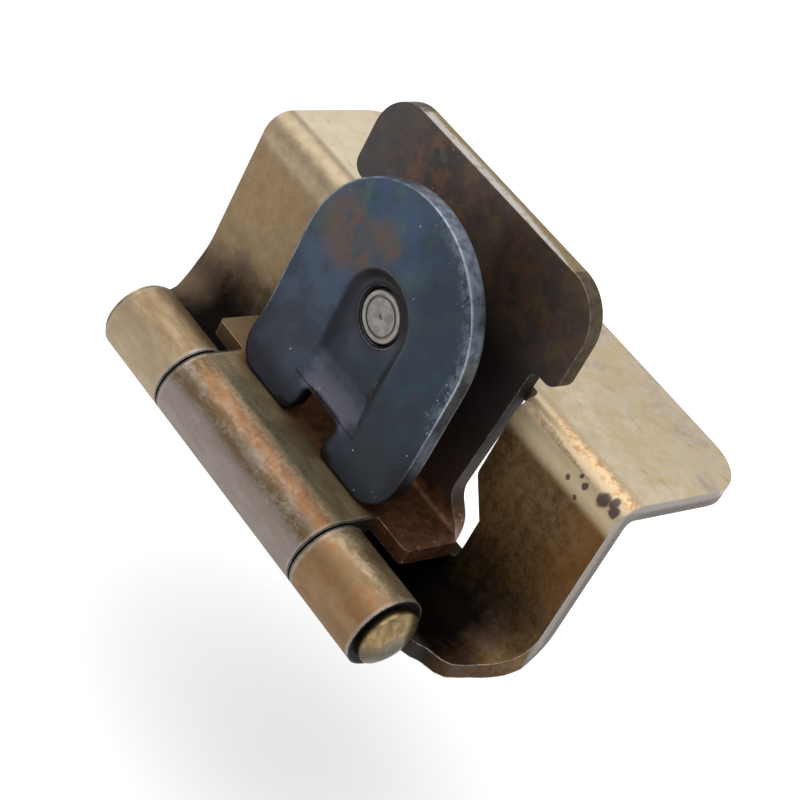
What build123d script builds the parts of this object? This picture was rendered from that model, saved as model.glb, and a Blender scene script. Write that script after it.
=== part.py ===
"""Overlay cabinet hinge that clamps into a saw kerf in the door's edge.

Millimetres, +Z up. The pin's axis is the Y axis and the origin lies on it, half way along the
barrel. The frame leaf runs from the barrel toward +X, turns up into a web with a window in it,
and turns again into the flange that wraps the cabinet frame's inner edge. The door leaf starts on
top of the middle knuckle and nests in that window. A clamp plate stands in front of it, drawn in
by one countersunk screw.
"""

import math
import os

from build123d import *

# One gauge of sheet makes both leaves and the clamp plate.
SHEET = 1.5

# Barrel: two knuckles of the frame leaf at the ends, the door leaf's knuckle between them.
PIN_R = 2.0
PIN_CLEARANCE = 0.05
BORE_R = PIN_R + PIN_CLEARANCE
KNUCKLE_R = BORE_R + SHEET
CURL_R = BORE_R + SHEET / 2
BARREL_HALF = 19.25
MIDDLE_HALF = 10.45
KNUCKLE_GAP = 0.25
CUTOUT_HALF = MIDDLE_HALF + KNUCKLE_GAP
CUTOUT_DEPTH = 4.3
FRAME_CURL_END = -12.0
DOOR_CURL_END = 8.0

# Pin heads, each seated on a knuckle's end.
NEAR_HEAD_R = 2.8
NEAR_HEAD_RIM = 0.7
NEAR_HEAD_H = 1.55
NEAR_HEAD_FLAT_R = 0.9
NEAR_HEAD_DENT = 0.12
FAR_HEAD_R = 3.3
FAR_HEAD_RIM = 0.4
FAR_HEAD_H = 1.25
FAR_HEAD_FLAT_R = 1.0

# Frame leaf, seen from its end: base, big bend, web, tight bend, flange.
LEAF_HALF = 25.5
BASE_RISE = 1.15
JOGGLE_RUN = 4.9
BASE_MID_Z = -CURL_R + BASE_RISE
FLARE_START = 3.15
CURL_FLOOR = -0.9
WEB_FRONT = 10.71
WEB_MID = WEB_FRONT + SHEET / 2
WEB_BACK = WEB_FRONT + SHEET
BIG_BEND_R = 4.5
FLANGE_BEND_R = 0.7
FLANGE_TOP = 17.74
FLANGE_MID = FLANGE_TOP - SHEET / 2
FLANGE_EDGE = 27.0
FLANGE_CORNER_R = 5.0

# Window in the web that the door leaf folds into.
WINDOW_SILL = 1.9
WINDOW_HALF = 14.76
WINDOW_HALF_TOP = 12.21
WINDOW_TAPER_LOW = 6.13
WINDOW_TAPER_HIGH = 9.2
WINDOW_END = 12.6
WINDOW_CORNER_R = 0.9

# Door leaf: base plate on top of the barrel, tight bend, T-shaped upright plate.
EAR_START = 4.0
EAR_HALF = 14.5
EAR_CORNER_R = 0.6
PLATE_FRONT = 10.75
PLATE_BACK = PLATE_FRONT + SHEET
DOOR_BEND_R = 0.9
BEND_END_HALF = 12.2
STEM_LOW_HALF = 10.85
STEM_LOW_Z = 5.8
STEM_HIGH_HALF = 11.7
HEAD_LOW_Z = 20.0
HEAD_HALF = 14.5
HEAD_TOP_Z = 29.0
HEAD_LOW_R = 1.3
HEAD_TOP_R = 4.2
NOTCH_R = 0.9

# Screw through the upright plate; the countersink is pressed in and bulges toward the barrel.
SCREW_Z = 16.06
SCREW_R = 2.4
SCREW_HOLE_R = 2.47
SCREW_HEAD_R = 4.45
SCREW_HEAD_BACK = 12.2
SCREW_END = 5.2
SINK_CLEARANCE = 0.06
DIMPLE_H = 1.0
DIMPLE_BASE_R = 5.2
DIMPLE_TOP_R = 4.15
SLOT_WIDTH = 1.1
SLOT_DEPTH = 1.3
END_RING_R = 1.8
END_RING_WIDTH = 0.18
END_MARK_R = 0.22
END_MARK_DEPTH = 0.15

# Clamp plate: two legs straddling a pressed channel, round top.
CLAMP_FRONT = 4.3
CLAMP_HALF = 10.6
CLAMP_FOOT_Z = 3.65
CLAMP_TOP_Z = 27.7
CLAMP_TOP_R = 10.6
LEG_BEND_Z = 10.0
LEG_KICK = 1.2
LEG_OUTER_R = 2.8
LEG_INNER_R = 0.8
NOTCH_HALF = 2.5
NOTCH_TOP_Z = 6.5
NOTCH_TOP_R = 0.7
POCKET_TOP_R = 4.2
POCKET_LOW_HALF = 3.9
POCKET_LOW_Z = 5.5
POCKET_RAMP_Z = 6.45
POCKET_START = 0.35
POCKET_TAPER = 53.0
POCKET_FLOOR_R = 0.6
POCKET_FLOOR_Z = 9.3
POCKET_DEPTH = 0.8
BOSS_GROWTH = 0.6
CLAMP_HOLE_R = 2.46
CLAMP_HOLE_CHAMFER = 0.2


def sheet_strip(x, z, heading, moves, half_width):
    """Bent sheet seen from its end: a middle line of straight runs and bends, given thickness."""
    left = []
    right = []
    angle = math.radians(heading)
    for kind, amount, turn in moves:
        side = (-math.sin(angle), math.cos(angle))
        if kind == "run":
            x2 = x + amount * math.cos(angle)
            z2 = z + amount * math.sin(angle)
            for edges, sign in ((left, 1), (right, -1)):
                dx = sign * SHEET / 2 * side[0]
                dz = sign * SHEET / 2 * side[1]
                edges.append(Line((x + dx, 0, z + dz), (x2 + dx, 0, z2 + dz)))
            x, z = x2, z2
            continue
        bend = math.copysign(amount, turn)
        cx = x + bend * side[0]
        cz = z + bend * side[1]
        step = math.radians(turn)
        for edges, sign in ((left, 1), (right, -1)):
            offset = bend - sign * SHEET / 2
            points = []
            for share in (0, 0.5, 1):
                now = angle + share * step
                points.append((cx + offset * math.sin(now), 0, cz - offset * math.cos(now)))
            edges.append(ThreePointArc(*points))
        angle += step
        x = cx + bend * math.sin(angle)
        z = cz - bend * math.cos(angle)
    start = Line(right[0] @ 0, left[0] @ 0)
    end = Line(left[-1] @ 1, right[-1] @ 1)
    outline = Wire([start, *left, end, *right])
    return extrude(Face(outline), half_width, dir=(0, 1, 0), both=True)


def side_prism(points, x_low, x_high):
    """Prism along X from an outline of (half width, height) points, the same on both sides."""
    mirrored = [(-y, z) for y, z in reversed(points)]
    ring = Polyline(*[(x_low, y, z) for y, z in points + mirrored], close=True)
    return extrude(Face(Wire(ring)), x_high - x_low, dir=(1, 0, 0))


def plan_prism(points, z_low, z_high):
    """Prism along Z from an outline of (distance, half width) points, the same on both sides."""
    mirrored = [(x, -y) for x, y in reversed(points)]
    ring = Polyline(*[(x, y, z_low) for x, y in points + mirrored], close=True)
    return extrude(Face(Wire(ring)), z_high - z_low, dir=(0, 0, 1))


def rod(radius, x_low, x_high, z=SCREW_Z, top_radius=None):
    """Cylinder or cone along X on the screw's axis."""
    place = Plane(origin=(x_low, 0, z), x_dir=(0, 1, 0), z_dir=(1, 0, 0))
    height = x_high - x_low
    if top_radius is None:
        body = Cylinder(radius, height, align=(Align.CENTER, Align.CENTER, Align.MIN))
    else:
        body = Cone(radius, top_radius, height, align=(Align.CENTER, Align.CENTER, Align.MIN))
    return place * body


def block(low, high):
    """Box between two corners."""
    size = [b - a for a, b in zip(low, high)]
    corner = (Align.MIN, Align.MIN, Align.MIN)
    return Pos(*low) * Box(*size, align=corner)


def edges_along(shape, axis, test):
    """Straight edges parallel to an axis whose middle passes a test."""
    return [e for e in shape.edges().filter_by(axis) if test(e @ 0.5)]


def frame_plan():
    """Outline from above: the barrel's width, a flare behind it, full width at the web."""
    top = 40.0
    flare = [
        (-8.0, BARREL_HALF),
        (FLARE_START, BARREL_HALF),
        (3.5, 20.3),
        (3.9, 20.9),
        (4.4, 22.4),
        (5.0, 23.1),
        (7.3, 23.8),
        (8.6, 24.5),
        (9.8, 25.15),
        (WEB_FRONT, LEAF_HALF),
        (FLANGE_EDGE, LEAF_HALF),
    ]
    plan = plan_prism(flare, -10.0, top)
    corners = edges_along(plan, Axis.Z, lambda m: m.X > FLANGE_EDGE - 0.1)
    plan = fillet(corners, FLANGE_CORNER_R)
    shoulder = edges_along(plan, Axis.Z, lambda m: 4.9 < m.X < 5.1)
    plan = fillet(shoulder, 0.6)
    root = edges_along(plan, Axis.Z, lambda m: 3.8 < m.X < 4.0)
    return fillet(root, 0.5)


def window_cutter():
    """The window: wide at its sill, narrower above, run on into the start of the flange."""
    above = FLANGE_TOP + 2.0
    outline = [
        (WINDOW_HALF, WINDOW_SILL),
        (WINDOW_HALF, WINDOW_TAPER_LOW),
        (WINDOW_HALF_TOP, WINDOW_TAPER_HIGH),
        (WINDOW_HALF_TOP, above),
    ]
    cutter = side_prism(outline, WEB_FRONT - 3.0, WINDOW_END)
    taper = edges_along(cutter, Axis.X, lambda m: abs(m.Z - WINDOW_TAPER_HIGH) < 0.1)
    cutter = fillet(taper, WINDOW_CORNER_R)
    sill = edges_along(cutter, Axis.X, lambda m: abs(m.Z - WINDOW_SILL) < 0.1)
    cutter = fillet(sill, 0.4)
    end = edges_along(
        cutter, Axis.Z, lambda m: m.X > WINDOW_END - 0.1 and abs(abs(m.Y) - WINDOW_HALF_TOP) < 0.1
    )
    return fillet(end, 0.5)


def frame_leaf():
    """Leaf with the two end knuckles, web with its window, and flange; only its base flares."""
    joggle = 2 * math.degrees(math.atan(BASE_RISE / JOGGLE_RUN))
    joggle_r = JOGGLE_RUN / (2 * math.sin(math.radians(joggle)))
    start = math.radians(FRAME_CURL_END)
    web_mid_r = BIG_BEND_R + SHEET / 2
    flange_mid_r = FLANGE_BEND_R + SHEET / 2
    moves = [
        ("bend", CURL_R, 270.0 - FRAME_CURL_END),
        ("bend", joggle_r, joggle),
        ("bend", joggle_r, -joggle),
        ("run", WEB_MID - web_mid_r - JOGGLE_RUN, 0),
        ("bend", web_mid_r, 90.0),
        ("run", FLANGE_MID - flange_mid_r - (BASE_MID_Z + web_mid_r), 0),
        ("bend", flange_mid_r, -90.0),
        ("run", FLANGE_EDGE - (WEB_MID + flange_mid_r), 0),
    ]
    leaf = sheet_strip(
        CURL_R * math.cos(start),
        CURL_R * math.sin(start),
        FRAME_CURL_END + 90.0,
        moves,
        LEAF_HALF + 1.0,
    )
    leaf &= frame_plan()
    leaf -= block((-9.0, -CUTOUT_HALF, -9.0), (CUTOUT_DEPTH, CUTOUT_HALF, 9.0))
    leaf -= window_cutter()
    for side in (-1, 1):
        near = min(side * BARREL_HALF, side * (LEAF_HALF + 1.0))
        far = max(side * BARREL_HALF, side * (LEAF_HALF + 1.0))
        leaf -= block((-9.0, near, CURL_FLOOR), (KNUCKLE_R + 0.1, far, 9.0))
    return leaf


def door_taper():
    """Waste either side where the upright's sides close in round the bend."""
    bend_x = PLATE_FRONT - DOOR_BEND_R
    bend_z = KNUCKLE_R + DOOR_BEND_R
    near = 0.4
    far = 5.0
    wide = EAR_HALF + 5.0
    low = Polyline(
        (bend_x, EAR_HALF, bend_z - near),
        (bend_x, wide, bend_z - near),
        (bend_x, wide, bend_z - far),
        (bend_x, EAR_HALF, bend_z - far),
        close=True,
    )
    high = Polyline(
        (bend_x + near, BEND_END_HALF, bend_z),
        (bend_x + near, wide, bend_z),
        (bend_x + far, wide, bend_z),
        (bend_x + far, BEND_END_HALF, bend_z),
        close=True,
    )
    waste = Solid.make_loft([Wire(low), Wire(high)], ruled=True)
    return [waste, mirror(waste, about=Plane.XZ)]


def door_upright():
    """Outline of the upright plate from the end of the bend to its rounded top."""
    bend_z = KNUCKLE_R + DOOR_BEND_R
    outline = [
        (BEND_END_HALF, bend_z),
        (STEM_LOW_HALF, STEM_LOW_Z),
        (STEM_HIGH_HALF, HEAD_LOW_Z),
        (HEAD_HALF, HEAD_LOW_Z),
        (HEAD_HALF, HEAD_TOP_Z),
    ]
    plate = side_prism(outline, PLATE_FRONT - 2.0, PLATE_BACK + 2.0)
    top = edges_along(plate, Axis.X, lambda m: m.Z > HEAD_TOP_Z - 0.1)
    plate = fillet(top, HEAD_TOP_R)
    low = edges_along(
        plate, Axis.X, lambda m: abs(m.Z - HEAD_LOW_Z) < 0.1 and abs(m.Y) > HEAD_HALF - 0.1
    )
    plate = fillet(low, HEAD_LOW_R)
    notch = edges_along(
        plate, Axis.X, lambda m: abs(m.Z - HEAD_LOW_Z) < 0.1 and abs(m.Y) < HEAD_HALF - 1.0
    )
    plate = fillet(notch, NOTCH_R)
    waist = edges_along(plate, Axis.X, lambda m: abs(m.Z - STEM_LOW_Z) < 0.1)
    return fillet(waist, 2.0)


def door_base():
    """Everything of the door leaf below the end of its bend: knuckle width, then ears."""
    bend_z = KNUCKLE_R + DOOR_BEND_R
    outline = [
        (-8.0, MIDDLE_HALF),
        (EAR_START, MIDDLE_HALF),
        (EAR_START, EAR_HALF),
        (PLATE_BACK + 2.0, EAR_HALF),
    ]
    base = plan_prism(outline, -10.0, bend_z)
    ears = edges_along(
        base, Axis.Z, lambda m: abs(m.X - EAR_START) < 0.1 and abs(m.Y) > EAR_HALF - 0.1
    )
    return fillet(ears, EAR_CORNER_R)


def door_leaf():
    """Leaf with the middle knuckle, eared base plate and T-shaped upright."""
    start = math.radians(DOOR_CURL_END)
    bend_mid_r = DOOR_BEND_R + SHEET / 2
    moves = [
        ("bend", CURL_R, -(270.0 + DOOR_CURL_END)),
        ("run", PLATE_FRONT - DOOR_BEND_R, 0),
        ("bend", bend_mid_r, 90.0),
        ("run", HEAD_TOP_Z + 1.0 - (KNUCKLE_R + DOOR_BEND_R), 0),
    ]
    leaf = sheet_strip(
        CURL_R * math.cos(start),
        CURL_R * math.sin(start),
        DOOR_CURL_END - 90.0,
        moves,
        EAR_HALF + 1.0,
    )
    leaf &= door_base() + door_upright()
    for waste in door_taper():
        leaf -= waste
    dimple_face = PLATE_FRONT - DIMPLE_H
    leaf += rod(DIMPLE_TOP_R, dimple_face, PLATE_FRONT + 0.1, top_radius=DIMPLE_BASE_R)
    leaf -= rod(SCREW_HOLE_R, dimple_face - 1.0, PLATE_BACK + 1.0)
    sink_r = SCREW_HEAD_R + SINK_CLEARANCE + PLATE_BACK - SCREW_HEAD_BACK
    leaf -= rod(0.0, PLATE_BACK - sink_r, PLATE_BACK, top_radius=sink_r)
    return leaf


def dome(rim_r, rim_y, height, flat_r):
    """Arc of a ball centred on the pin's axis, from a head's rim in to its flattened middle."""
    sign = math.copysign(1.0, rim_y)
    ball = (rim_r**2 + height**2) / (2 * height)
    centre = abs(rim_y) + height - ball
    points = []
    for r in (rim_r, (rim_r + flat_r) / 2, flat_r):
        points.append((r, sign * (centre + math.sqrt(ball**2 - r**2)), 0))
    return ThreePointArc(*points)


def hinge_pin():
    """Pin through all three knuckles, a low domed head set on each end."""
    near = -BARREL_HALF
    far = BARREL_HALF
    near_dome = dome(NEAR_HEAD_R, near - NEAR_HEAD_RIM, NEAR_HEAD_H - NEAR_HEAD_RIM, NEAR_HEAD_FLAT_R)
    far_dome = dome(FAR_HEAD_R, far + FAR_HEAD_RIM, FAR_HEAD_H - FAR_HEAD_RIM, FAR_HEAD_FLAT_R)
    near_flat = near_dome @ 1
    far_flat = far_dome @ 1
    near_bottom = (0, near_flat.Y + NEAR_HEAD_DENT, 0)
    far_centre = (0, far_flat.Y, 0)
    profile = [
        Line(near_bottom, near_flat),
        near_dome,
        Line(near_dome @ 0, (NEAR_HEAD_R, near, 0)),
        Line((NEAR_HEAD_R, near, 0), (PIN_R, near, 0)),
        Line((PIN_R, near, 0), (PIN_R, far, 0)),
        Line((PIN_R, far, 0), (FAR_HEAD_R, far, 0)),
        Line((FAR_HEAD_R, far, 0), far_dome @ 0),
        far_dome,
        Line(far_flat, far_centre),
        Line(far_centre, near_bottom),
    ]
    return revolve(Face(Wire(profile)), axis=Axis.Y)


def clamp_outline():
    """Front view of the clamp plate: straight sides, round top, notch between the legs."""
    straight_top = CLAMP_TOP_Z - CLAMP_TOP_R
    back = CLAMP_FRONT + 6.0
    sides = [
        (CLAMP_HALF, CLAMP_FOOT_Z),
        (CLAMP_HALF, straight_top),
    ]
    plate = side_prism(sides, CLAMP_FRONT - 4.0, back)
    plate += rod(CLAMP_TOP_R, CLAMP_FRONT - 4.0, back, z=straight_top)
    feet = edges_along(
        plate, Axis.X, lambda m: abs(m.Z - CLAMP_FOOT_Z) < 0.1 and abs(m.Y) > CLAMP_HALF - 0.1
    )
    plate = fillet(feet, LEG_OUTER_R)
    notch_sides = [
        (NOTCH_HALF, CLAMP_FOOT_Z - 2.0),
        (NOTCH_HALF, NOTCH_TOP_Z),
    ]
    notch = side_prism(notch_sides, CLAMP_FRONT - 5.0, back + 1.0)
    top = edges_along(notch, Axis.X, lambda m: m.Z > NOTCH_TOP_Z - 0.1)
    notch = fillet(top, NOTCH_TOP_R)
    plate -= notch
    inner = edges_along(
        plate, Axis.X, lambda m: abs(m.Z - CLAMP_FOOT_Z) < 0.1 and abs(m.Y) < NOTCH_HALF + 0.1
    )
    return fillet(inner, LEG_INNER_R)


def pocket_outline(x, grow):
    """Front view of the pressed pocket: round over the screw, spreading toward the notch."""
    arc_r = POCKET_TOP_R + grow
    low_half = POCKET_LOW_HALF + grow
    drop = SCREW_Z - POCKET_LOW_Z
    lean = math.atan2(low_half, drop) - math.asin(arc_r / math.hypot(low_half, drop))
    side = (arc_r * math.cos(lean), SCREW_Z + arc_r * math.sin(lean))
    near = (x, -side[0], side[1])
    far = (x, side[0], side[1])
    over = ThreePointArc(near, (x, 0, SCREW_Z + arc_r), far)
    low_far = (x, low_half, POCKET_LOW_Z)
    low_near = (x, -low_half, POCKET_LOW_Z)
    return Wire([over, Line(far, low_far), Line(low_far, low_near), Line(low_near, near)])


def pocket(grow, back):
    """Pocket pressed back round the screw: sloping walls, flat floor, ramp up to the notch."""
    low = CLAMP_FRONT - POCKET_START + back
    high = CLAMP_FRONT + POCKET_DEPTH + back
    slope = math.tan(math.radians(POCKET_TAPER))
    mouth = Face(pocket_outline(low, grow + POCKET_START * slope))
    walls = extrude(mouth, high - low, dir=(1, 0, 0), taper=POCKET_TAPER)
    if back == 0.0:
        bottom = walls.faces().sort_by(Axis.X)[-1]
        walls = fillet(bottom.edges(), POCKET_FLOOR_R)
    reach = SCREW_Z + 10.0
    floor = Polyline(
        (low - 1.0, 0, POCKET_RAMP_Z),
        (low, 0, POCKET_RAMP_Z),
        (high, 0, POCKET_FLOOR_Z),
        (high, 0, reach),
        (low - 1.0, 0, reach),
        close=True,
    )
    return walls & extrude(Face(Wire(floor)), CLAMP_HALF, dir=(0, 1, 0), both=True)


def clamp_plate():
    """Sprung clamp plate: legs kicked toward the barrel, a pocket pressed back round the screw."""
    drop = LEG_BEND_Z - CLAMP_FOOT_Z
    kick_mid_r = drop**2 / (2 * LEG_KICK)
    kick = math.degrees(math.asin(drop / kick_mid_r))
    mid = CLAMP_FRONT + SHEET / 2
    above = CLAMP_TOP_Z + 1.0
    moves = [
        ("run", above - LEG_BEND_Z, 0),
        ("bend", kick_mid_r, -kick - 6.0),
    ]
    plate = sheet_strip(mid, above, 270.0, moves, CLAMP_HALF + 1.0)
    floor = CLAMP_FRONT + POCKET_DEPTH
    back = CLAMP_FRONT + SHEET
    plate += pocket(BOSS_GROWTH, SHEET)
    plate &= clamp_outline()
    plate -= pocket(0.0, 0.0)
    plate -= rod(CLAMP_HOLE_R, CLAMP_FRONT - 2.0, back + 3.0)
    chamfer_r = CLAMP_HOLE_R + CLAMP_HOLE_CHAMFER
    plate -= rod(chamfer_r, floor, floor + CLAMP_HOLE_CHAMFER, top_radius=CLAMP_HOLE_R)
    return plate


def clamp_screw():
    """Countersunk machine screw; its plain end shows in the clamp plate's channel."""
    cone_start = SCREW_HEAD_BACK - (SCREW_HEAD_R - SCREW_R)
    screw = rod(SCREW_R, SCREW_END, cone_start)
    screw += rod(SCREW_R, cone_start, SCREW_HEAD_BACK, top_radius=SCREW_HEAD_R)
    end = screw.edges().filter_by(GeomType.CIRCLE).sort_by(Axis.X)[0]
    screw = chamfer(end, 0.2)
    ring = rod(END_RING_R, SCREW_END - 1.0, SCREW_END + 0.12)
    ring -= rod(END_RING_R - END_RING_WIDTH, SCREW_END - 2.0, SCREW_END + 1.0)
    screw -= ring
    screw -= rod(END_MARK_R, SCREW_END - 1.0, SCREW_END + END_MARK_DEPTH)
    slot_low = (SCREW_HEAD_BACK - SLOT_DEPTH, -SCREW_HEAD_R - 1.0, SCREW_Z - SLOT_WIDTH / 2)
    slot_high = (SCREW_HEAD_BACK + 1.0, SCREW_HEAD_R + 1.0, SCREW_Z + SLOT_WIDTH / 2)
    screw -= block(slot_low, slot_high)
    return screw


def single(shape):
    """The one solid of a finished sub-part."""
    solids = shape.solids()
    return solids[0] if len(solids) == 1 else shape


os.makedirs("parts", exist_ok=True)
export_step(single(frame_leaf()), "parts/frame_leaf.step")
export_step(single(door_leaf()), "parts/door_leaf.step")
export_step(single(hinge_pin()), "parts/hinge_pin.step")
export_step(single(clamp_plate()), "parts/clamp_plate.step")
export_step(single(clamp_screw()), "parts/clamp_screw.step")
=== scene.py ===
# %% [markdown]
# # An overlay cabinet hinge in antique brass
#
# The hinge is bent from thin sheet. One leaf wraps the edge of the cabinet's face frame, the other
# one bites the door's edge between its dark upright plate and a blued clamp plate that a screw
# pulls in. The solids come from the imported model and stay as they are. This script gives each one
# the finish that years of use left on it, adds the thread of the screw, and sets up the light and
# the camera.

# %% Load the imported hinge
import math

import bpy
from mathutils import Matrix, Vector


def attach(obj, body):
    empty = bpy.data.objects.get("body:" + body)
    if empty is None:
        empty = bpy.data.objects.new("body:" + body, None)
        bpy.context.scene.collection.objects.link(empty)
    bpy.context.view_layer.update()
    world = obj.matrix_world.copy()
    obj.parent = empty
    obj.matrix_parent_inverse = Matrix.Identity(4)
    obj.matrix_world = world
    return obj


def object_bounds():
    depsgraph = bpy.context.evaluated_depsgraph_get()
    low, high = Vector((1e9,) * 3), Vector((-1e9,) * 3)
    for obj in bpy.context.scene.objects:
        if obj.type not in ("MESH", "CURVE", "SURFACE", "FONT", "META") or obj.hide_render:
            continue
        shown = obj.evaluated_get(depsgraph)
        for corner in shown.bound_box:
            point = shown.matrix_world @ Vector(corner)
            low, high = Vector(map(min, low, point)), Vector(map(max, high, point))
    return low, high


MM_PER_METRE = 1000.0

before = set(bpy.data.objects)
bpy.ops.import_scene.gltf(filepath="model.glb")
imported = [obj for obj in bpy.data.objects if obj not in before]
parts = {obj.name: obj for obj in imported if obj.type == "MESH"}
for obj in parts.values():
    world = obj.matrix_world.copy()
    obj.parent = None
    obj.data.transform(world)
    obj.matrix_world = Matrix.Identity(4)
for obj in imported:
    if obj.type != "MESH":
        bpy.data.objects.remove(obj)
cad_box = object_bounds()
print("parts:", sorted(parts))
print("box in metres:", cad_box)

# %% [markdown]
# A finish here is a page of arithmetic: distances, masks and noise that end in a colour or a
# roughness. Blender writes that as Math nodes joined by links, which is slow to read. A small class
# around a socket lets Python's own plus, minus and times add those nodes, so each finish below
# reads like the sum that it is.


# %% Arithmetic on sockets
class Wire:
    """A socket of a material, with operators that add Math nodes."""

    def __init__(self, page, socket):
        self.page = page
        self.socket = socket

    def math(self, operation, *others):
        values = dict(enumerate((self,) + others))
        return self.page.add("ShaderNodeMath", {"operation": operation}, values)

    def __add__(self, other):
        return self.math("ADD", other)

    def __radd__(self, other):
        return self.math("ADD", other)

    def __sub__(self, other):
        return self.math("SUBTRACT", other)

    def __rsub__(self, other):
        return (self * -1.0) + other

    def __mul__(self, other):
        return self.math("MULTIPLY", other)

    def __rmul__(self, other):
        return self.math("MULTIPLY", other)

    def __truediv__(self, other):
        return self.math("DIVIDE", other)

    def __abs__(self):
        return self.math("ABSOLUTE")

    def __pow__(self, other):
        return self.math("POWER", other)

    def clamp(self):
        return self.math("MAXIMUM", 0.0).math("MINIMUM", 1.0)

    def most(self, other):
        return self.math("MAXIMUM", other)

    def least(self, other):
        return self.math("MINIMUM", other)

    def step(self, low, high):
        """0 below low and 1 above high, with a soft change between; low may be the larger."""
        settings = {"interpolation_type": "SMOOTHSTEP", "clamp": True}
        if low < high:
            values = {"Value": self, "From Min": low, "From Max": high}
            return self.page.add("ShaderNodeMapRange", settings, values)
        values = {"Value": self, "From Min": high, "From Max": low, "To Min": 1.0, "To Max": 0.0}
        return self.page.add("ShaderNodeMapRange", settings, values)


# %% [markdown]
# Every finish starts from the same page: a Principled shader, and the place on the piece in
# millimetres. Object coordinates are used because a piece's object sits at the origin, so they are
# the hinge's own axes: x from the barrel to the flange, y along the pin, z up. A pattern made on
# them moves with its piece when the hinge opens.


# %% A page for one finish
class Page:
    """One material's nodes: the shader, places in millimetres, and helpers for patterns."""

    def __init__(self, name):
        self.material = bpy.data.materials.new(name)
        self.material.use_nodes = True
        self.tree = self.material.node_tree
        self.shader = self.tree.nodes["Principled BSDF"]
        place = self.tree.nodes.new("ShaderNodeTexCoord")
        scale = {"Vector": Wire(self, place.outputs["Object"]), "Scale": MM_PER_METRE}
        self.mm = self.add("ShaderNodeVectorMath", {"operation": "SCALE"}, scale)
        split = "ShaderNodeSeparateXYZ"
        self.x, self.y, self.z = (self.add(split, {}, {"Vector": self.mm}, axis) for axis in "XYZ")

    def add(self, kind, settings, values, output=0):
        """A node of a kind, its settings first, then its sockets' values or links."""
        node = self.tree.nodes.new(kind)
        for key, value in settings.items():
            setattr(node, key, value)
        for key, value in values.items():
            socket = node.inputs[key]
            if isinstance(value, Wire):
                self.tree.links.new(value.socket, socket)
            else:
                socket.default_value = value
        return Wire(self, node.outputs[output])

    def stretched(self, scale, shift=(0.0, 0.0, 0.0)):
        """The place in millimetres, stretched along the axes."""
        moved = {"Vector": self.mm, "Scale": scale, "Location": shift}
        return self.add("ShaderNodeMapping", {"vector_type": "POINT"}, moved)

    def noise(self, size, detail=4.0, rough=0.55, shift=0.0, scale=(1.0, 1.0, 1.0)):
        """Cloudy noise between 0 and 1 whose blotches are about size millimetres."""
        place = self.stretched(scale, (shift, shift * 0.7, -shift))
        values = {"Vector": place, "Scale": 1.0 / size, "Detail": detail, "Roughness": rough}
        return self.add("ShaderNodeTexNoise", {}, values)

    def specks(self, size, shift=0.0):
        """Distance from scattered points, in cells of about size millimetres."""
        place = self.stretched((1.0, 1.0, 1.0), (shift, shift, shift))
        return self.add("ShaderNodeTexVoronoi", {}, {"Vector": place, "Scale": 1.0 / size})

    def blend(self, share, first, second):
        """Colour that goes from first to second as share goes from 0 to 1."""
        node = self.tree.nodes.new("ShaderNodeMix")
        node.data_type = "RGBA"
        if isinstance(share, Wire):
            self.tree.links.new(share.socket, node.inputs[0])
        else:
            node.inputs[0].default_value = share
        for place, colour in ((6, first), (7, second)):
            if isinstance(colour, Wire):
                self.tree.links.new(colour.socket, node.inputs[place])
            else:
                node.inputs[place].default_value = (*colour, 1.0)
        return Wire(self, node.outputs[2])

    def mix_directions(self, share, first, second):
        """A direction that goes from first to second as share goes from 0 to 1."""
        node = self.tree.nodes.new("ShaderNodeMix")
        node.data_type = "VECTOR"
        for place, value in ((0, share), (4, first), (5, second)):
            self.tree.links.new(value.socket, node.inputs[place])
        return Wire(self, node.outputs[1])

    def spot(self, centre, radius, edge=0.25, depth=1.5, ragged=None):
        """1 inside a small round spot, at most depth millimetres deep, fading at its edge."""
        dx = (self.x - centre[0]) / depth * radius
        dy = self.y - centre[1]
        dz = self.z - centre[2]
        away = (dx * dx + dy * dy + dz * dz) ** 0.5
        if ragged is not None:
            away = away + (ragged - 0.5) * (radius * 0.9)
        return away.step(radius * (1.0 + edge), radius * (1.0 - edge))

    def link(self, name, value):
        """Feeds one of the shader's sockets."""
        self.tree.links.new(value.socket, self.shader.inputs[name])

    def worn(self, radius, low=0.02, high=0.2):
        """1 along the sharp edges, where handling rubs a finish through to the metal below."""
        plain = self.add("ShaderNodeNewGeometry", {}, {}, "Normal")
        pair = {0: self.rounded(radius, 6), 1: plain}
        match = self.add("ShaderNodeVectorMath", {"operation": "DOT_PRODUCT"}, pair, "Value")
        return (1.0 - match).step(low, high)

    def rounded(self, radius, samples=4):
        """The surface's direction as if its sharp edges had a small radius, in millimetres."""
        values = {"Radius": radius / MM_PER_METRE}
        return self.add("ShaderNodeBevel", {"samples": samples}, values, "Normal")

    def bump(self, height, strength, distance, base=None):
        """Small relief that the light sees, over edges that look slightly rounded."""
        values = {"Height": height, "Strength": strength, "Distance": distance}
        values["Normal"] = base if base is not None else self.rounded(0.12)
        self.link("Normal", self.add("ShaderNodeBump", {}, values, "Normal"))


def from_screen(red, green, blue):
    """A colour as seen on the screen, 0 to 255, as the linear values that a shader takes."""
    linear = []
    for value in (red, green, blue):
        share = value / 255.0
        if share <= 0.04045:
            linear.append(share / 12.92)
        else:
            linear.append(((share + 0.055) / 1.055) ** 2.4)
    return tuple(linear)


def dress(piece, material):
    """Gives a piece one material in place of what it has."""
    piece.data.materials.clear()
    piece.data.materials.append(material)


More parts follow.
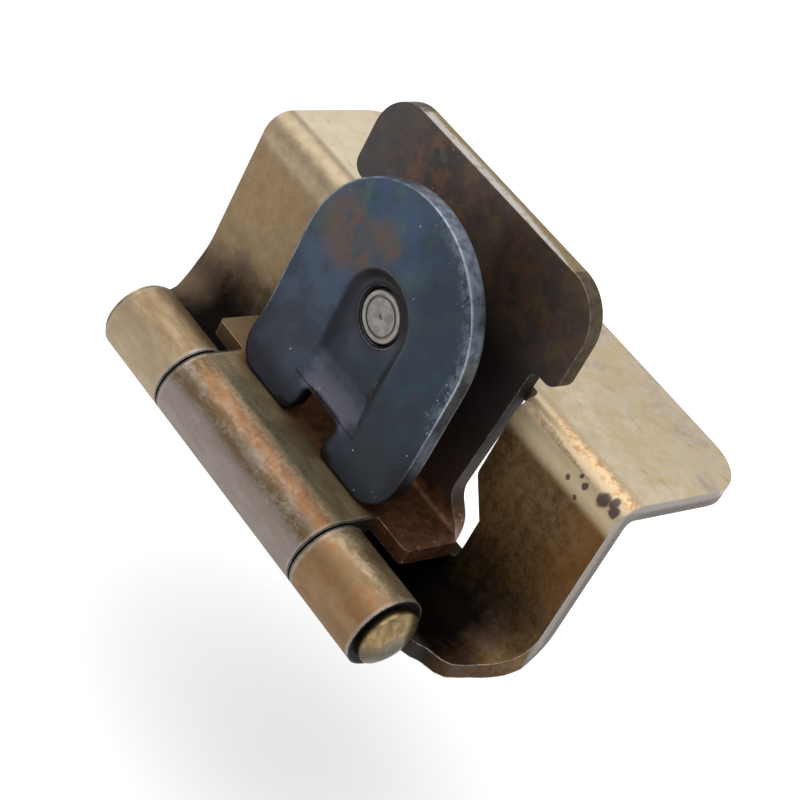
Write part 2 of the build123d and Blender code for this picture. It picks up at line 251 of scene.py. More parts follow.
# %% [markdown]
# Antique brass is a thin brass plate that was darkened and then rubbed back. What is rubbed is pale
# and a little shiny, what is not stays olive brown with soft clouds in it. The leaf of the cabinet
# frame shows both: the flange was rubbed most, the web kept its brown and turns nearly black toward
# the base, where dark patina and painted shade lie, and the knuckles are rubbed in between. The
# masks below say where each of these is, and noise breaks up their borders. Where the sheet was
# sheared its edge is grey steel, smooth on the side where the blade went in and rough on the other.

# %% Colours of the brass
CREAM = from_screen(204, 190, 166)
RUBBED = from_screen(186, 170, 142)
PEACH = from_screen(178, 154, 126)
TAN = from_screen(132, 112, 84)
KHAKI = from_screen(118, 98, 70)
OLIVE = from_screen(98, 78, 46)
BROWN = from_screen(72, 50, 29)
BLACK_BROWN = from_screen(13, 10, 8)
PLUM = from_screen(58, 45, 46)
LILAC_GREY = from_screen(112, 104, 100)
COPPER = from_screen(124, 86, 60)
SHEARED = from_screen(132, 127, 122)
TORN_STEEL = from_screen(92, 88, 86)
BARE_STEEL = from_screen(196, 194, 188)

# Dark spots on the lower half of the flange's bend, as (x, y, z, radius) in millimetres.
DARK_DOTS = (
    (10.72, -19.62, 15.77, 0.24),
    (11.01, -20.48, 16.65, 0.19),
    (10.85, -21.30, 16.31, 0.31),
    (10.71, -21.12, 14.96, 0.22),
    (11.00, -23.24, 16.63, 0.58),
    (11.29, -24.10, 17.03, 0.40),
    (11.00, -24.60, 16.64, 0.46),
)
# Places on the hinge where one finish ends and the next begins, in millimetres.
SHEET = 1.5
LEAF_HALF = 25.5
BARREL_HALF = 19.25
MIDDLE_HALF = 10.45
WEB_FRONT = 10.71
FLANGE_TOP = 17.74
FLANGE_EDGE = 27.0
PLATE_FRONT = 10.75
HEAD_HALF = 14.5
HEAD_TOP_Z = 29.0
CLAMP_HALF = 10.6
SCREW_Z = 16.06


# %% The frame leaf's brass
def frame_brass():
    page = Page("antique_brass_frame")
    clouds = page.noise(3.4, detail=5.0, rough=0.6)
    mottle = page.noise(1.0, detail=5.0, rough=0.62, shift=11.0)
    fine = page.noise(0.32, detail=4.0, rough=0.65, shift=23.0)
    mixed = mottle * 0.6 + fine * 0.4
    # The web: brown at the near end, tan at the far end, nearly black toward the base with dark
    # patina and painted shade.
    far = (page.y + clouds * 8.0).step(0.0, 26.0)
    web = page.blend(mixed.step(0.34, 0.64), BROWN, from_screen(104, 82, 50))
    rust = page.noise(0.5, shift=61.0).step(0.56, 0.7)
    web = page.blend(rust * 0.4, web, from_screen(112, 76, 40))
    web = page.blend((clouds * 0.5 + mixed * 0.5).step(0.5, 0.7) * 0.5, web, KHAKI)
    web = page.blend(far, web, page.blend(mixed.step(0.35, 0.65), KHAKI, TAN))
    plum = (clouds + (mottle - 0.5) * 0.5).step(0.46, 0.6) * page.z.step(8.0, 3.0)
    web = page.blend(plum * 0.6, web, PLUM)
    inward = (abs(page.y) + (clouds - 0.5) * 6.0 + (mottle - 0.5) * 2.0).step(25.5, 19.5)
    # Painted shade over dark patina: the web turns nearly black deep toward the base.
    depth = (page.z + (mottle - 0.5) * 3.0).step(6.2, 0.2) * inward
    web = page.blend(page.z.step(0.5, -3.0) * 0.5, web, BROWN)
    far_foot = page.z.step(6.0, 1.0) * page.y.step(14.0, 20.0)
    web = page.blend(far_foot * 0.6, web, from_screen(64, 50, 42))
    web = page.blend(depth, web, BLACK_BROWN)
    pits = page.z.step(11.5, 14.5) * page.y.step(-12.0, -19.0) * fine.step(0.5, 0.62)
    web = page.blend(pits * 0.6, web, from_screen(70, 44, 26))
    near_edge = (page.y + (clouds - 0.5) * 6.0).step(-19.5, -24.5) * page.z.step(3.0, 8.0)
    web = page.blend(near_edge * 0.5, web, from_screen(112, 72, 36))
    # The flange: pale where it was rubbed, duller toward its outer edge.
    flange = page.z.step(16.9, 17.5)
    warm = page.blend((clouds * 0.7 + mottle * 0.3).step(0.42, 0.62), RUBBED, CREAM)
    warm = page.blend((clouds * 0.4 + mixed * 0.6).step(0.48, 0.62) * 0.5, warm, PEACH)
    outer = (page.x + (clouds - 0.5) * 9.0).step(19.0, 22.5)
    dull = (clouds * 0.7 + mottle * 0.3).step(0.42, 0.6)
    warm = page.blend(outer * dull * 0.45, warm, from_screen(130, 120, 112))
    yellow = page.noise(2.2, detail=4.0, rough=0.6, shift=89.0).step(0.46, 0.62)
    far_side = page.y.step(4.0, 16.0)
    warm = page.blend(far_side * 0.6, warm, from_screen(214, 200, 176))
    warm = page.blend(yellow * (0.5 - 0.3 * far_side), warm, from_screen(180, 160, 116))
    scuffs = page.noise(0.5, detail=3.0, rough=0.6, shift=97.0, scale=(1.0, 0.25, 1.0))
    warm = page.blend(scuffs.step(0.6, 0.72) * 0.3, warm, from_screen(120, 100, 78))
    stain = (clouds * 0.35 + mottle * 0.65).step(0.55, 0.7) * fine.step(0.4, 0.62)
    warm = page.blend(stain * 0.28, warm, from_screen(104, 78, 62))
    colour = page.blend(flange, web, warm)
    # The bend between them: a pale band, rubbed and partly a painted highlight, with a rusty crest
    # at the near end, and a crease darkened with painted shade.
    bend = page.z.step(14.3, 15.4) * page.x.step(13.6, 12.8)
    # Rubbed brass and painted highlight: a pale band along the bend, paler toward the near end and
    # on the crest.
    bend_wear_and_highlight = page.blend(
        mottle.step(0.35, 0.65), from_screen(142, 126, 100), from_screen(156, 140, 116))
    near_bend = page.y.step(10.0, -18.0)
    bend_wear_and_highlight = page.blend(near_bend * 0.8, bend_wear_and_highlight, from_screen(178, 160, 130))
    crest = abs(page.x - 12.3 + (mottle - 0.5) * 1.2).step(0.9, 0.2) * page.z.step(16.9, 17.3)
    flaking = page.y.step(-12.0, -18.0)
    crest_wear_and_highlight = crest * flaking * (0.4 + 0.6 * fine)
    bend_wear_and_highlight = page.blend(crest_wear_and_highlight, bend_wear_and_highlight, from_screen(196, 168, 130))
    rusty_crest = crest * flaking * (fine * 0.5 + mottle * 0.5).step(0.44, 0.58)
    bend_wear_and_highlight = page.blend(rusty_crest * 0.75, bend_wear_and_highlight, from_screen(142, 98, 60))
    colour = page.blend(bend * 0.92, colour, bend_wear_and_highlight)
    # Painted shade: a darker line along the crease at the top of the bend.
    wavy = page.x - 11.45 - (page.y + 13.0) * 0.06 + (mottle - 0.5) * 0.5
    crease_shade = abs(wavy).step(0.26, 0.08) * page.z.step(16.6, 16.9) * page.y.step(-7.0, -11.0)
    crease_shade = crease_shade * (0.45 + 0.55 * fine.step(0.38, 0.6))
    colour = page.blend(crease_shade * 0.7, colour, from_screen(96, 76, 54))
    dots = None
    for x, y, z, r in DARK_DOTS:
        one = page.spot((x, y, z), r, ragged=fine)
        dots = one if dots is None else dots.most(one)
    colour = page.blend(dots * 0.9, colour, PLUM)
    # The two end knuckles, with dark seams toward the middle one and dark ends.
    barrel = page.x.step(4.4, 3.4) * page.z.step(-6.0, -5.0)
    streaks = page.noise(1.1, detail=5.0, rough=0.6, shift=5.0, scale=(1.0, 0.45, 1.0))
    knuckle = page.blend(
        streaks.step(0.34, 0.66), from_screen(128, 108, 80), from_screen(150, 130, 102))
    lengthwise = page.noise(1.3, detail=4.0, rough=0.6, shift=15.0, scale=(1.0, 0.2, 1.0))
    near_knuckle = page.y.step(-8.0, -12.0)
    knuckle = page.blend(lengthwise.step(0.42, 0.64) * 0.55, knuckle, from_screen(108, 90, 64))
    low_side = near_knuckle * page.x.step(-1.2, -2.4)
    knuckle = page.blend(low_side * 0.4, knuckle, from_screen(124, 96, 64))
    pale = (streaks * 0.6 + fine * 0.4).step(0.48, 0.62) * near_knuckle * page.x.step(-2.2, -0.8)
    knuckle = page.blend(pale * 0.7, knuckle, from_screen(180, 162, 134))
    belt = abs(page.x + 2.5 + (clouds - 0.5) * 2.0).step(1.5, 0.4)
    rusty = (streaks * 0.4 + mottle * 0.6).step(0.42, 0.6) * near_knuckle * belt
    knuckle = page.blend(rusty * 0.8, knuckle, from_screen(130, 88, 54))
    knuckle = page.blend(mixed.step(0.52, 0.66) * 0.35, knuckle, LILAC_GREY)
    # Painted reflection: the far knuckle's outer side is paler, as if it caught light off the
    # floor.
    painted_floor_reflection = page.x.step(-1.8, -3.4) * page.y.step(0.0, 6.0)
    knuckle = page.blend(painted_floor_reflection * 0.3, knuckle, CREAM)
    knuckle = page.blend(page.x.step(-0.4, 2.2) * 0.7, knuckle, OLIVE)
    seam = abs(page.y).step(10.88, 10.78)
    pale_rim = abs(page.y).step(18.8, 19.1).most(abs(page.y).step(11.3, 11.0))
    pale_rim = pale_rim * (0.25 + 0.4 * mottle.step(0.4, 0.6))
    knuckle = page.blend(pale_rim, knuckle, from_screen(158, 150, 144))
    knuckle = page.blend(seam * 0.85, knuckle, BLACK_BROWN)
    ends = abs(page.y).step(BARREL_HALF - 0.10, BARREL_HALF - 0.03)
    radius = (page.x * page.x + page.z * page.z) ** 0.5
    ring = page.blend(radius.step(3.2, 3.5), BLACK_BROWN, from_screen(56, 50, 47))
    knuckle = page.blend(ends, knuckle, ring)
    colour = page.blend(barrel, colour, knuckle)
    # The sheared edges: smooth grey on one side of the sheet, torn on the other.
    across = (page.x - WEB_FRONT).most(0.0).least((FLANGE_TOP - page.z).most(0.0)) / SHEET
    sheared = page.blend((across + (fine - 0.5) * 0.3).step(0.35, 0.65), SHEARED, TORN_STEEL)
    sheared = page.blend(page.z.step(3.0, -1.0) * 0.8, sheared, BROWN)
    edge = abs(page.y).step(LEAF_HALF - 0.10, LEAF_HALF - 0.03)
    edge = edge.most(page.x.step(FLANGE_EDGE - 0.07, FLANGE_EDGE - 0.02))
    colour = page.blend(edge * (0.75 + 0.25 * mottle), colour, sheared)
    rubbed_edge = page.worn(0.18)
    colour = page.blend(rubbed_edge * (0.25 + 0.6 * fine.step(0.35, 0.6)), colour, BARE_STEEL)
    page.link("Base Color", colour)
    page.link("Metallic", 0.85 + 0.15 * depth)
    page.link("Roughness", (0.36 + 0.14 * clouds + 0.16 * (fine - 0.5) + 0.15 * depth).clamp())
    page.bump(fine * 0.03 + mottle * 0.04, 0.5, 0.001)
    return page.material


dress(parts["frame_leaf"], frame_brass())
print("frame leaf finished")


# %% [markdown]
# The door leaf has two faces. Its knuckle is rubbed brass like the rest of the barrel, with a
# coppery streak along the top and a greenish grey one beside it, while the upright plate was left
# nearly black, with rust and ochre in it. The change lies on the base plate between them. The
# sheared rim along the top shows bare steel, made brighter with a painted highlight.

# %% The door leaf's darkened brass
def door_brass():
    page = Page("darkened_brass_door")
    page.shader.inputs["Metallic"].default_value = 0.8
    clouds = page.noise(2.6, detail=5.0, rough=0.6, shift=3.0)
    mottle = page.noise(0.9, detail=5.0, rough=0.62, shift=17.0)
    fine = page.noise(0.3, detail=4.0, rough=0.65, shift=43.0)
    streaks = page.noise(0.9, detail=5.0, rough=0.6, shift=7.0, scale=(1.0, 0.4, 1.0))
    lengthwise = page.noise(1.2, detail=4.0, rough=0.6, shift=29.0, scale=(1.0, 0.16, 1.0))
    # The middle knuckle: brown on the left, olive on the right, a copper streak between.
    wander = (clouds - 0.5) * 1.2 + (mottle - 0.5) * 0.9
    left = page.blend(
        lengthwise.step(0.38, 0.6), from_screen(96, 77, 52), from_screen(112, 100, 88))
    veins = page.noise(0.9, detail=5.0, rough=0.6, shift=77.0, scale=(1.0, 0.3, 1.0))
    left = page.blend(veins.step(0.42, 0.62) * 0.55, left, from_screen(92, 70, 44))
    grey = (streaks * 0.6 + fine * 0.4).step(0.48, 0.62)
    left = page.blend(grey * 0.5, left, from_screen(142, 132, 122))
    tan = page.x.step(-2.4, -1.6) * veins.step(0.56, 0.44)
    left = page.blend(tan * 0.5, left, from_screen(128, 106, 74))
    left = page.blend(mottle.step(0.52, 0.68) * 0.4, left, from_screen(74, 58, 44))
    right = page.blend(
        streaks.step(0.32, 0.68), from_screen(112, 98, 72), from_screen(138, 122, 92))
    knuckle = page.blend((page.x + wander).step(-0.6, 0.4), left, right)
    streak = abs(page.x + 1.25 + wander).step(1.25, 0.35) * page.y.step(9.8, 7.0)
    grain = (streaks * 0.7 + fine * 0.3).step(0.36, 0.64)
    copper = page.blend(grain, COPPER, from_screen(144, 112, 82))
    copper = page.blend(mottle.step(0.5, 0.66) * 0.6, copper, from_screen(98, 68, 52))
    copper = page.blend(page.y.step(-4.0, -9.0) * 0.6, copper, from_screen(116, 76, 44))
    knuckle = page.blend(streak * (0.42 + 0.45 * mottle.step(0.3, 0.55)), knuckle, copper)
    # Painted highlight: a pale tan line along the top of the knuckle.
    crest = abs(page.x + 0.35 + wander * 0.8).step(0.7, 0.1) * page.y.step(9.0, 5.0)
    crest = crest * (0.35 + 0.4 * fine.step(0.35, 0.6))
    knuckle = page.blend(crest, knuckle, from_screen(166, 148, 118))
    belt = abs(page.x - 0.75 + wander * 0.7).step(0.95, 0.3) * page.y.step(-6.5, -4.5)
    green = (clouds * 0.4 + mottle * 0.6).step(0.42, 0.56)
    knuckle = page.blend(belt * green * 0.5, knuckle, from_screen(112, 112, 92))
    spots = (mottle * 0.4 + fine * 0.6).step(0.5, 0.6)
    knuckle = page.blend(belt * spots * 0.4, knuckle, from_screen(64, 58, 48))
    # Painted reflection: the knuckle's outermost side is a paler grey.
    painted_edge_reflection = page.x.step(-2.9, -3.4)
    knuckle = page.blend(painted_edge_reflection * 0.6, knuckle, from_screen(134, 126, 122))
    flecks = page.specks(0.7, shift=8.0).step(0.14, 0.06) * belt
    knuckle = page.blend(flecks * 0.6, knuckle, from_screen(176, 172, 158))
    knuckle = page.blend(page.x.step(1.8, 3.4) * 0.5, knuckle, OLIVE)
    pale_rim = abs(page.y).step(9.9, 10.2) * (0.2 + 0.4 * mottle.step(0.4, 0.6))
    knuckle = page.blend(pale_rim, knuckle, from_screen(150, 140, 130))
    seam = abs(page.y).step(MIDDLE_HALF - 0.20, MIDDLE_HALF - 0.10)
    knuckle = page.blend(seam * 0.85, knuckle, from_screen(14, 10, 9))
    side = abs(page.y).step(MIDDLE_HALF - 0.07, MIDDLE_HALF - 0.02)
    knuckle = page.blend(side * 0.8, knuckle, page.blend(fine, TORN_STEEL, BLACK_BROWN))
    # The base plate: rust brown, tan at the far end.
    base = page.blend(mottle.step(0.32, 0.68), from_screen(86, 56, 38), from_screen(122, 84, 58))
    far_base = page.y.step(8.0, 13.0)
    base = page.blend(far_base * 0.8, base, from_screen(132, 116, 90))
    near_ear = page.y.step(-10.5, -12.0)
    white = page.specks(0.8, shift=6.0).step(0.13, 0.05) * near_ear
    base = page.blend(white * 0.8, base, from_screen(190, 176, 160))
    # The upright plate: nearly black, with rust and ochre on the head of the T.
    patches = clouds * 0.45 + mottle * 0.35 + fine * 0.2
    dark = page.blend(patches.step(0.34, 0.66), from_screen(48, 40, 36), from_screen(72, 61, 56))
    blotches = page.noise(1.7, detail=5.0, rough=0.55, shift=47.0)
    rust = (clouds * 0.35 + blotches * 0.5 + fine * 0.15).step(0.44, 0.62)
    rust_colour = page.blend(
        page.y.step(-3.0, 4.0), from_screen(104, 70, 38), from_screen(116, 72, 46))
    rust = rust * page.z.step(20.0, 23.5) * (0.8 - 0.55 * page.y.step(7.0, 11.0))
    dark = page.blend(rust, dark, rust_colour)
    ochre = page.noise(1.9, detail=4.0, rough=0.6, shift=71.0).step(0.48, 0.62)
    ochre = ochre * page.y.step(6.0, 2.0)
    dark = page.blend(ochre * page.z.step(20.0, 22.0) * 0.65, dark, from_screen(104, 82, 48))
    blue_grey = page.noise(1.3, detail=4.0, rough=0.6, shift=83.0).step(0.56, 0.66)
    dark = page.blend(blue_grey * 0.4, dark, from_screen(84, 80, 88))
    far_corner = page.y.step(8.0, 12.0)
    dark = page.blend(far_corner * 0.5, dark, from_screen(56, 54, 58))
    salt = page.specks(1.3, shift=14.0).step(0.05, 0.025) * page.z.step(20.0, 21.5)
    dark = page.blend(salt * 0.7, dark, from_screen(170, 164, 150))
    # Painted shade: the plate darkens toward the near side, beside the clamp plate.
    dark = page.blend(page.y.step(0.0, -5.5) * 0.65, dark, from_screen(38, 29, 23))
    # Painted light: the middle of the plate is lighter, against the dark reflection of the clamp
    # plate there.
    middle = page.y.step(-4.0, -1.0) * page.y.step(6.0, 3.0)
    dark = page.blend(middle * 0.3, dark, from_screen(104, 90, 80))
    # Painted shade: the stem below the head, in the clamp plate's shade, is nearly black.
    stem_shade = page.z.step(21.0, 18.0) * page.z.step(6.0, 9.0)
    dark = page.blend(stem_shade * 0.8, dark, from_screen(20, 14, 13))
    dark = page.blend(page.z.step(12.0, 8.0) * 0.6, dark, from_screen(54, 38, 32))
    colour = page.blend(page.x.step(2.6, 4.2), knuckle, base)
    colour = page.blend(page.z.step(4.2, 5.6), colour, dark)
    # The sheared rim of the T, bare steel turning to brass toward the back; its bright top edge is
    # partly a painted highlight.
    across = (page.x - PLATE_FRONT) / SHEET
    brassy = across + (mottle - 0.5) * 0.8 + page.y.step(-2.0, -12.0) * 0.5
    brassy = (brassy + page.y.step(-9.0, -12.0) * 0.4).step(0.35, 0.75)
    rim_steel_and_highlight = page.blend(brassy, from_screen(172, 168, 160), from_screen(120, 103, 70))
    top = page.z.step(HEAD_TOP_Z - 0.10, HEAD_TOP_Z - 0.04)
    round_corner = ((abs(page.y) - 10.3) ** 2.0 + (page.z - 24.8) ** 2.0).step(17.2, 17.5)
    round_corner = round_corner * abs(page.y).step(10.2, 10.4) * page.z.step(24.7, 24.9)
    corner = abs(page.y).step(HEAD_HALF - 0.10, HEAD_HALF - 0.04).most(round_corner)
    colour = page.blend(top * (0.5 + 0.5 * mottle.step(0.3, 0.5)), colour, rim_steel_and_highlight)
    worn_side = page.blend(
        mottle.step(0.35, 0.65), from_screen(52, 40, 24), from_screen(84, 71, 48))
    colour = page.blend(corner * page.z.step(19.5, 21.0) * 0.8, colour, worn_side)
    rubbed_edge = page.worn(0.16)
    shiny = rubbed_edge * (0.2 + 0.5 * mottle.step(0.4, 0.6))
    colour = page.blend(shiny, colour, from_screen(156, 148, 136))
    page.link("Base Color", colour)
    upright = page.z.step(4.2, 5.6)
    page.link("Metallic", 0.8 - 0.35 * upright)
    page.link("Roughness", (0.34 + 0.16 * upright + 0.18 * clouds + 0.14 * (fine - 0.5)).clamp())
    page.bump(fine * 0.03 + mottle * 0.05, 0.5, 0.001)
    return page.material


dress(parts["door_leaf"], door_brass())
print("door leaf finished")


# %% [markdown]
# The clamp plate is spring steel, blued by heat. Oil and handling leave it glossy blue black, with
# teal and straw colours where the heat was greater, and with a few bright nicks. Its edge caught
# more heat and more rubbing, and shows a paler grey blue line, brightened further with a painted
# highlight. Painted shade darkens its pocket and its feet.

# %% The clamp plate's blued steel
def blued_steel():
    page = Page("heat_blued_steel")
    page.shader.inputs["Metallic"].default_value = 0.85
    clouds = page.noise(3.2, detail=4.0, rough=0.5, shift=9.0)
    tint = page.noise(2.4, detail=4.0, rough=0.55, shift=37.0)
    mottle = page.noise(0.9, detail=4.0, rough=0.6, shift=53.0)
    fine = page.noise(0.25, detail=4.0, rough=0.6, shift=13.0)
    colour = page.blend(clouds.step(0.38, 0.64), from_screen(42, 48, 58), from_screen(54, 65, 80))
    # Heat colours: blue and teal above, straw and red in one patch.
    blue = page.z.step(13.0, 18.0) * tint.step(0.6, 0.45)
    colour = page.blend(blue * 0.5, colour, from_screen(52, 68, 92))
    teal = tint.step(0.5, 0.62) * page.z.step(15.0, 20.0)
    colour = page.blend(teal * 0.5, colour, from_screen(62, 84, 84))
    grain = mottle * 0.6 + fine * 0.4
    heat = page.spot((4.3, 6.4, 20.0), 3.0, edge=0.6, ragged=mottle)
    heat = heat.most(page.spot((4.3, 2.6, 21.8), 1.7, edge=0.6, ragged=mottle))
    heat = heat.most(page.spot((4.3, 3.6, 19.4), 1.3, edge=0.7, ragged=mottle))
    straw = heat * (clouds * 0.4 + mottle * 0.5 + fine * 0.1).step(0.33, 0.58)
    colour = page.blend(heat * 0.35, colour, from_screen(56, 68, 64))
    colour = page.blend(straw * 0.8, colour, from_screen(84, 66, 53))
    reddish = heat * page.noise(1.6, shift=91.0).step(0.48, 0.66)
    colour = page.blend(reddish * 0.45, colour, from_screen(88, 58, 50))
    deep = page.spot((4.3, 5.0, 23.6), 1.0, edge=0.5, ragged=mottle)
    colour = page.blend(deep * 0.6, colour, from_screen(38, 62, 78))
    # The near half is darker, the ground round the screw is browner.
    dim = (page.y + (clouds - 0.5) * 4.0).step(1.0, -5.0)
    colour = page.blend(dim * 0.75, colour, from_screen(36, 42, 50))
    sea = page.noise(2.0, shift=67.0).step(0.48, 0.6)
    sea = sea * page.y.step(1.0, -3.0) * page.z.step(20.0, 15.0)
    colour = page.blend(sea * 0.35, colour, from_screen(36, 62, 68))
    dz = page.z - SCREW_Z
    from_screw = (page.y * page.y + dz * dz) ** 0.5
    halo = from_screw.step(4.6, 3.4) * (page.z + page.y * 0.6).step(11.0, 14.0)
    colour = page.blend(halo * 0.45, colour, from_screen(60, 54, 56))
    low = page.z.step(13.0, 7.0)
    colour = page.blend(low * 0.45, colour, from_screen(52, 52, 58))
    colour = page.blend(low * page.y.step(-2.0, -6.0) * 0.5, colour, from_screen(32, 36, 40))
    # The pocket: walls and floor darkened with painted shade, a ramp below that is rubbed and
    # painted lighter, and a lip that is scratched and painted with a highlight.
    # Painted shade on the pocket's steep walls.
    wall_shade = page.x.step(4.36, 4.6) * page.x.step(5.3, 4.9) * page.y.step(1.2, 2.4)
    wall_shade = wall_shade * page.z.step(9.4, 10.4) * page.z.step(20.5, 18.5)
    colour = page.blend(wall_shade * 0.8, colour, from_screen(24, 24, 28))
    # Painted shade: darker inside the pocket.
    inside = page.x.step(4.7, 5.0) * page.x.step(5.6, 5.4) * (1.0 - dim * 0.5)
    colour = page.blend(inside * 0.3, colour, from_screen(34, 35, 40))
    # Rubbed and painted light: the upward-facing ramp below the pocket is a paler lilac grey.
    ramp_wear_and_light = (abs(page.y) + (mottle - 0.5) * 2.4).step(4.2, 2.4) * page.z.step(5.8, 6.8)
    ramp_wear_and_light = ramp_wear_and_light * (page.z + (mottle - 0.5) * 2.0).step(9.8, 7.6)
    colour = page.blend(ramp_wear_and_light * (0.3 + 0.45 * mottle), colour, from_screen(104, 102, 114))
    # Scratches and painted highlight: a bright line along the lip.
    lip_scratches_and_highlight = page.z.step(7.5, 6.6) * abs(page.y).step(2.4, 1.6) * grain.step(0.5, 0.62)
    colour = page.blend(lip_scratches_and_highlight * 0.6, colour, from_screen(150, 150, 160))
    scratch = page.x.step(4.34, 4.5) * page.y.step(-2.4, -3.0) * page.z.step(13.0, 11.5)
    scratch = scratch * page.noise(0.35, shift=31.0, scale=(1.0, 1.0, 0.3)).step(0.52, 0.66)
    colour = page.blend(scratch * 0.3, colour, from_screen(120, 126, 136))
    # Painted shade: a dark ring round the screw stands in for the shadowed gap in its hole.
    dark_ring = from_screw.step(2.95, 2.6)
    colour = page.blend(dark_ring * 0.9, colour, from_screen(16, 14, 14))
    # Nicks on the face, and rubbed edges, partly painted as highlights, that are brightest at the
    # upper right.
    nicks = page.specks(2.0, shift=2.0).step(0.04, 0.022)
    above = (page.z - 17.1).most(0.0)
    outward = (page.y * page.y + above * above) ** 0.5
    salty = dim * outward.step(8.4, 10.0)
    nicks = nicks.most(page.specks(0.7, shift=12.0).step(0.12, 0.05) * salty)
    colour = page.blend(nicks * 0.7, colour, BARE_STEEL)
    # Heat, rubbing and painted highlight: a paler grey blue line round the rim.
    rim = outward.step(CLAMP_HALF - 0.18, CLAMP_HALF - 0.08) * page.z.step(6.0, 9.0)
    rim_wear_and_highlight = page.blend(
        mottle.step(0.35, 0.65), from_screen(80, 87, 100), from_screen(122, 130, 144))
    colour = page.blend(rim * 0.9, colour, rim_wear_and_highlight)
    rubbed_edge = page.worn(0.3, 0.01, 0.16)
    # Painted highlight: the rubbed edges are brighter toward the upper right.
    highlight_side = page.y.step(4.0, -1.0) * page.z.step(11.0, 16.0)
    hazy = salty * highlight_side * outward.step(9.0, 10.3) * grain.step(0.42, 0.6)
    colour = page.blend(hazy * 0.42, colour, from_screen(116, 124, 138))
    flaked = (mottle * 0.5 + fine * 0.5).step(0.38, 0.58)
    colour = page.blend(rubbed_edge * (0.12 + 0.2 * flaked), colour, from_screen(110, 118, 132))
    edge_wear_and_highlight = rubbed_edge * highlight_side * (0.35 + 0.55 * flaked)
    colour = page.blend(edge_wear_and_highlight, colour, from_screen(168, 176, 188))
    # The feet are painted dark as shade, and their edges stay dark.
    foot_shade = (abs(page.y) + (clouds - 0.5) * 2.0).step(8.2, 10.8) * page.z.step(13.0, 7.0)
    foot_shade = foot_shade.most((page.z + (clouds - 0.5) * 2.0 - page.y * 0.08).step(6.6, 3.9))
    colour = page.blend(foot_shade * 0.6, colour, from_screen(24, 22, 25))
    foot = rubbed_edge * page.z.step(9.5, 7.0)
    colour = page.blend(foot * 0.85, colour, from_screen(26, 24, 26))
    page.link("Base Color", colour)
    page.link("Roughness", (0.24 + 0.14 * clouds + 0.12 * (fine - 0.5)).clamp())
    near_pocket = (page.y * page.y + (page.z - 13.0) ** 2.0 * 0.45).step(60.0, 42.0)
    soft = page.mix_directions(near_pocket, page.rounded(0.3), page.rounded(1.2, 12))
    page.bump(fine * 0.012 + mottle * 0.03, 0.5, 0.001, base=soft)
    return page.material


dress(parts["clamp_plate"], blued_steel())
print("clamp plate finished")


# %% [markdown]
# The screw's end was faced off and shows bare grey steel with fine turning marks. They are rings,
# so the pattern is a wave in the distance from the screw's axis. A painted highlight lies on a ring
# near the end's edge, and painted shade darkens the edge itself, where the hole round it is in
# shadow. The shank is darker with painted shade between the thread's crests, and the crests carry a
# painted highlight.

# %% The screw's bare steel
def bare_steel():
    page = Page("turned_bare_steel")
    page.shader.inputs["Metallic"].default_value = 0.85
    dz = page.z - SCREW_Z
    radius = (page.y * page.y + dz * dz) ** 0.5
    mottle = page.noise(0.8, detail=4.0, rough=0.6, shift=59.0)
    fine = page.noise(0.25, detail=4.0, rough=0.6, shift=19.0)
    rings = (radius * 38.0 + fine * 2.0).math("SINE")
    colour = page.blend(
        mottle.step(0.35, 0.65), from_screen(106, 102, 98), from_screen(132, 128, 124))
    # Painted highlight: a pale ring near the edge of the screw's end.
    rim = abs(radius - 2.02).step(0.2, 0.05)
    colour = page.blend(rim * 0.3, colour, from_screen(150, 144, 140))
    inner = abs(radius - 1.72).step(0.16, 0.05)
    colour = page.blend(inner * 0.5, colour, from_screen(72, 62, 54))
    # Painted shade: the end's outer edge is nearly black, for the shadowed gap in the hole round
    # it.
    colour = page.blend(radius.step(2.14, 2.26) * 0.9, colour, from_screen(24, 20, 18))
    # Painted shade on the shank between the thread's crests, and a painted highlight on the crests.
    thread_root_shade = page.x.step(5.5, 5.9) * page.x.step(11.6, 11.2)
    colour = page.blend(thread_root_shade * 0.85, colour, from_screen(60, 54, 48))
    crest = radius.step(2.405, 2.425) * thread_root_shade
    colour = page.blend(crest * 0.8, colour, from_screen(150, 146, 140))
    page.link("Base Color", colour)
    page.link("Roughness", (0.38 + 0.14 * (fine - 0.5)).clamp())
    page.bump(rings * 0.003 + fine * 0.012, 0.4, 0.001)
    return page.material


screw_finish = bare_steel()
dress(parts["clamp_screw"], screw_finish)
print("screw finished")


# %% [markdown]
# The solid screw is a plain rod. A real M5 thread is a ridge that climbs 0.8 mm with each turn. One
# small triangle stands on the shank, and the Screw modifier winds it round the screw's axis. The
# crest stays a little lower than a real one, so that the plain hole of the clamp plate clears it
# all along its travel. It starts inside that plate and ends before the upright one.

# %% The screw's thread
THREAD_PITCH = 0.8
THREAD_ROOT = 2.36
THREAD_CREST = 2.44
THREAD_WIDTH = 0.46
THREAD_START = 5.9
THREAD_TURNS = 4
THREAD_STEPS = 32
MM = 0.001

bpy.ops.object.select_all(action="DESELECT")
bpy.ops.mesh.primitive_circle_add(
    vertices=3, radius=MM, location=(0.0, 0.0, 0.0), rotation=(math.pi / 2.0, 0.0, 0.0))
bpy.ops.object.transform_apply(location=False, rotation=True, scale=False)
thread = bpy.context.active_object
thread.name = "screw_thread"
height = THREAD_CREST - THREAD_ROOT
wide = THREAD_WIDTH / math.sqrt(3.0)
tall = height / 1.5
bpy.ops.object.mode_set(mode="EDIT")
bpy.ops.mesh.select_all(action="SELECT")
bpy.ops.transform.resize(value=(wide, 1.0, tall), center_override=(0.0, 0.0, 0.0))
bpy.ops.transform.translate(value=(THREAD_START * MM, 0.0, (THREAD_ROOT + tall / 2.0) * MM))
bpy.ops.object.mode_set(mode="OBJECT")
winding = thread.modifiers.new("winding", "SCREW")
winding.axis = "X"
winding.angle = math.tau
winding.screw_offset = THREAD_PITCH * MM
